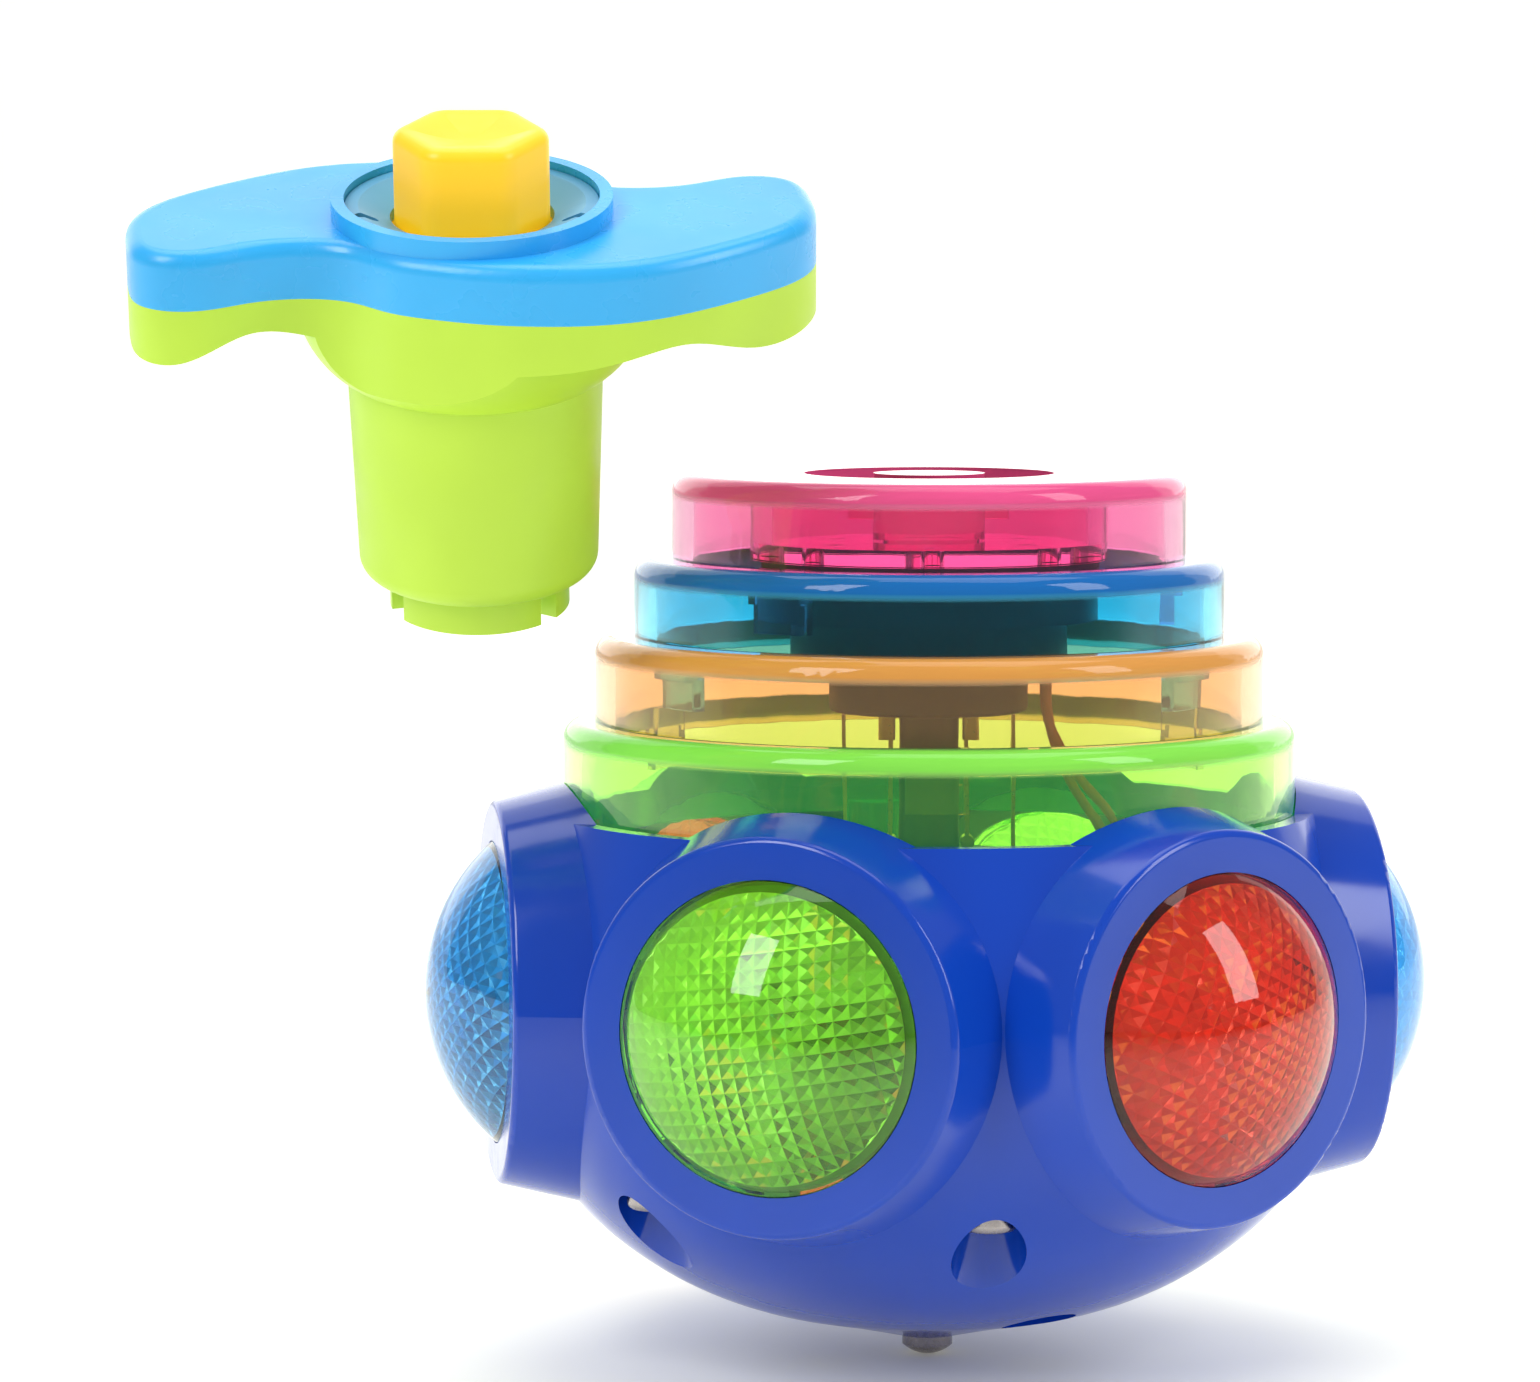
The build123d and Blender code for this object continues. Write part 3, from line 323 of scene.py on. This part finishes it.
def lens_bmesh(turn):
    """A dome that is smooth outside and has rows of small pyramids inside"""
    sphere = (LENS_CHORD**2 + LENS_DOME**2) / (2 * LENS_DOME)
    centre = LENS_SEAT_DEPTH + LENS_DOME - sphere
    inner_sphere = sphere - LENS_WALL
    inner_radius = LENS_CHORD - LENS_WALL
    cells = 2 * int(inner_radius / PYRAMID_PITCH + 1)
    bm = bmesh.new()
    size = cells * PYRAMID_PITCH * MM / 2
    bmesh.ops.create_grid(bm, x_segments=cells, y_segments=cells, size=size)
    outside = [f for f in bm.faces if all(v.co.length > inner_radius * MM for v in f.verts)]
    bmesh.ops.delete(bm, geom=outside, context="FACES")
    for vert in bm.verts:
        if vert.co.length > inner_radius * MM:
            vert.co = vert.co.normalized() * inner_radius * MM
    rim = [edge for edge in bm.edges if edge.is_boundary]
    peaks = set(bmesh.ops.poke(bm, faces=bm.faces[:])["verts"])
    for vert in bm.verts:
        flat = min(Vector((vert.co.x, vert.co.y)).length / MM, inner_radius)
        height = centre + sqrt(inner_sphere**2 - flat**2)
        vert.co.z = (height - (PYRAMID_DEPTH if vert in peaks else 0)) * MM
    bmesh.ops.rotate(bm, verts=bm.verts, matrix=Matrix.Rotation(radians(turn), 3, "Z"))
    base = centre + sqrt(inner_sphere**2 - inner_radius**2)
    rings = [(inner_radius, min(base, 0) - LENS_FLANGE_THICKNESS),
             (LENS_FLANGE - 0.2, -LENS_FLANGE_THICKNESS),
             (LENS_FLANGE, 0.2 - LENS_FLANGE_THICKNESS), (LENS_FLANGE, -0.2), (LENS_FLANGE - 0.2, 0),
             (LENS_CHORD + 0.02, 0), (LENS_CHORD, 0.2), (LENS_CHORD, LENS_SEAT_DEPTH - 0.3)]
    edge_angle = atan(LENS_CHORD / (LENS_SEAT_DEPTH - centre))
    for step in range(DOME_RINGS):
        angle = edge_angle * (1 - step / DOME_RINGS)
        rings.append((sphere * sin(angle), centre + sphere * cos(angle)))
    # painted light: each pyramid side stores how much it faces FACET_LIGHT, lit or shaded; the rest of the
    # lens gets none
    painted_facet_light = bm.faces.layers.float.new("painted_facet_light")
    for face in bm.faces:
        face.normal_update()
        side = face.normal.xy.normalized() * (1 if face.normal.z > 0 else -1)
        face[painted_facet_light] = FACET_MIDDLE + FACET_SPREAD * side.dot(FACET_LIGHT)
    inside = set(bm.faces)
    for radius, height in rings:
        rim = extrude_rim(bm, rim, radius, height)
    top = bmesh.ops.contextual_create(bm, geom=rim)["faces"]
    bmesh.ops.poke(bm, faces=top)
    for face in bm.faces:
        face[painted_facet_light] = face[painted_facet_light] if face in inside else 0.0
    for vert in bm.verts:
        if vert.co.xy.length < 0.0001 * MM and vert.co.z > LENS_DOME * MM:
            vert.co.z = (centre + sphere) * MM
    return bm


def make_lenses():
    """The six domes, each in the place of its CAD lens"""
    for index, name in enumerate(LENS_NAMES):
        colour = name.split("_")[1]
        bm = lens_bmesh(PYRAMID_TURN[colour])
        bm.transform(lens_place(index))
        piece = finished(f"domed_lens_{name}", bm, f"lens_{colour}", "top", 20.0)
        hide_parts(f"lens_{name}")


def button_ring(bm, inset, height):
    """One outline of the button: a hexagon with round corners, moved in by inset"""
    corner = max(BUTTON_CORNER - inset, 0.05)
    reach = BUTTON_RADIUS - BUTTON_CORNER - max(inset - BUTTON_CORNER, 0)
    ring = []
    for side in range(6):
        for step in range(-4, 5):
            angle = radians(60 * side + 7.5 * step)
            centre = Vector((cos(radians(60 * side)), sin(radians(60 * side)))) * reach
            x, y = centre + Vector((cos(angle), sin(angle))) * corner
            ring.append(bm.verts.new((x * MM, y * MM, height * MM)))
    return ring


def bridge(bm, first, second):
    """Joins two outlines with as many points each by a band of faces"""
    for index in range(len(first)):
        after = (index + 1) % len(first)
        bm.faces.new((first[index], first[after], second[after], second[index]))


def make_button():
    """The launch button with soft corners, a rolled rim and a hollow top"""
    bm = bmesh.new()
    shoulder = BUTTON_TOP - BUTTON_RIM
    profile = [(0, BUTTON_FLANGE_TOP - 0.3), (0, shoulder)]
    for step in range(1, 7):
        angle = pi / 2 * step / 6
        profile.append((BUTTON_RIM * (1 - cos(angle)), shoulder + BUTTON_RIM * sin(angle)))
    hollow = BUTTON_RADIUS - BUTTON_RIM
    for step in range(1, 12):
        share = 1 - step / 12
        sunk = BUTTON_HOLLOW * (1 - share**2) ** 1.5
        profile.append((BUTTON_RIM + hollow * (1 - share), BUTTON_TOP - sunk))
    rings = [button_ring(bm, inset, height) for inset, height in profile]
    for lower, upper in zip(rings, rings[1:]):
        bridge(bm, lower, upper)
    bm.faces.new(rings[-1])
    bm.faces.new(rings[0])
    middle = Matrix.Translation((0, 0, (BUTTON_FLANGE_TOP - BUTTON_FLANGE_THICKNESS / 2) * MM))
    radius = BUTTON_FLANGE * MM
    bmesh.ops.create_cone(bm, cap_ends=True, segments=64, radius1=radius, radius2=radius,
                          depth=BUTTON_FLANGE_THICKNESS * MM, matrix=middle)
    bm.transform(LAUNCHER_PLACE)
    piece = finished("soft_launch_button", bm, "button_yellow", "button", 40.0)
    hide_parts("launch_button")


# ---------------------------------------------------------------- studio
LIT_POINT = Vector((-0.01, 0, 0.06))


def make_floor():
    """A white sweep: floor in front, curving up into a wall behind; painted dark towards the camera as
    shade, and glowing less under the top as a painted contact shadow
    """
    bm = bmesh.new()
    depth, rise, bend = 2.2, 1.6, 0.5
    line = [(-1.4, 0.0), (depth - bend, 0.0)]
    turns = 16
    for step in range(1, turns + 1):
        angle = pi / 2 * step / turns
        line.append((depth - bend + bend * sin(angle), bend - bend * cos(angle)))
    line.append((depth, rise))
    low = [bm.verts.new((-3.0, y, z)) for y, z in line]
    edges = [bm.edges.new(pair) for pair in zip(low, low[1:])]
    grown = bmesh.ops.extrude_edge_only(bm, edges=edges)["geom"]
    bmesh.ops.translate(bm, verts=[v for v in grown if isinstance(v, bmesh.types.BMVert)], vec=(6.0, 0, 0))
    mesh = bpy.data.meshes.new("studio_sweep")
    bm.to_mesh(mesh)
    bm.free()
    for polygon in mesh.polygons:
        polygon.use_smooth = True
    sweep = Finish("studio_white").set(Roughness=0.8, Specular_IOR_Level=0.1, Emission_Color=(1, 1, 1, 1))
    depth_in = sweep.node("ShaderNodeSeparateXYZ")
    sweep.link(sweep.place, depth_in.inputs["Vector"])
    # painted shade: from just in front of the top towards the camera the floor turns dark grey and stops
    # glowing, standing in for an unlit studio on that side
    front = sweep.node("ShaderNodeMapRange")
    front.inputs["From Min"].default_value = -0.06
    front.inputs["From Max"].default_value = -0.45
    sweep.link(depth_in.outputs["Y"], front.inputs["Value"])
    sweep.blend_colour(front.outputs["Result"], (0.92, 0.92, 0.80), (0.22, 0.22, 0.22))
    # painted contact shadow: the floor glows less within about ten centimetres of the middle under the
    # top, on top of the shadow the lamps cast
    away = sweep.node("ShaderNodeVectorMath", operation="LENGTH")
    sweep.link(sweep.place, away.inputs[0])
    painted_glow = sweep.node("ShaderNodeMapRange")
    painted_glow.inputs["From Min"].default_value = 0.02
    painted_glow.inputs["From Max"].default_value = 0.10
    painted_glow.inputs["To Min"].default_value = 0.12
    painted_glow.inputs["To Max"].default_value = 0.55
    sweep.link(away.outputs["Value"], painted_glow.inputs["Value"])
    dimming = sweep.node("ShaderNodeMath", operation="SUBTRACT", use_clamp=True)
    sweep.link(painted_glow.outputs["Result"], dimming.inputs[0])
    sweep.link(front.outputs["Result"], dimming.inputs[1])
    sweep.link(dimming.outputs["Value"], sweep.shader.inputs["Emission Strength"])
    mesh.materials.append(sweep.material)
    floor = bpy.data.objects.new("studio_sweep", mesh)
    bpy.context.scene.collection.objects.link(floor)


def softbox(name, place, width, height, power):
    """A rectangular lamp that looks at the middle of the object"""
    light = bpy.data.lights.new(name, "AREA")
    light.shape = "RECTANGLE"
    light.size, light.size_y = width, height
    light.energy = power
    lamp = bpy.data.objects.new(name, light)
    lamp.location = place
    lamp.rotation_euler = (LIT_POINT - Vector(place)).to_track_quat("-Z", "Y").to_euler()
    bpy.context.scene.collection.objects.link(lamp)


def make_lights():
    softbox("key_left", (-0.45, -0.50, 0.50), 0.25, 0.45, 3.0)
    softbox("fill_right", (0.60, -0.30, 0.40), 0.22, 0.5, 2.2)
    softbox("overhead", (0.0, 0.05, 0.75), 0.7, 0.5, 2.6)
    softbox("back_glow", (0.0, 0.8, 0.5), 1.6, 0.9, 4.0)
    world = bpy.data.worlds.new("studio_air")
    world.use_nodes = True
    background = world.node_tree.nodes["Background"]
    background.inputs["Color"].default_value = (1, 1, 1, 1)
    background.inputs["Strength"].default_value = 0.35
    bpy.context.scene.world = world


def make_camera():
    """A long lens a little above the top, square to its front"""
    distance, elevation = 0.600, radians(4.7)
    aim = Vector((-0.0154, 0.0, 0.0650))
    millimetres_across = 149.5
    camera = bpy.data.cameras.new("camera")
    camera.sensor_width = 36.0
    camera.lens = camera.sensor_width * distance / (millimetres_across * MM)
    camera.clip_start = 0.01
    eye = bpy.data.objects.new("camera", camera)
    eye.location = aim + distance * Vector((0, -cos(elevation), sin(elevation)))
    eye.rotation_euler = (aim - eye.location).to_track_quat("-Z", "Y").to_euler()
    bpy.context.scene.collection.objects.link(eye)
    bpy.context.scene.camera = eye


dress_cad_nodes()
make_lenses()
make_button()
make_floor()
make_lights()
make_camera()
bpy.context.scene.view_settings.view_transform = "Standard"
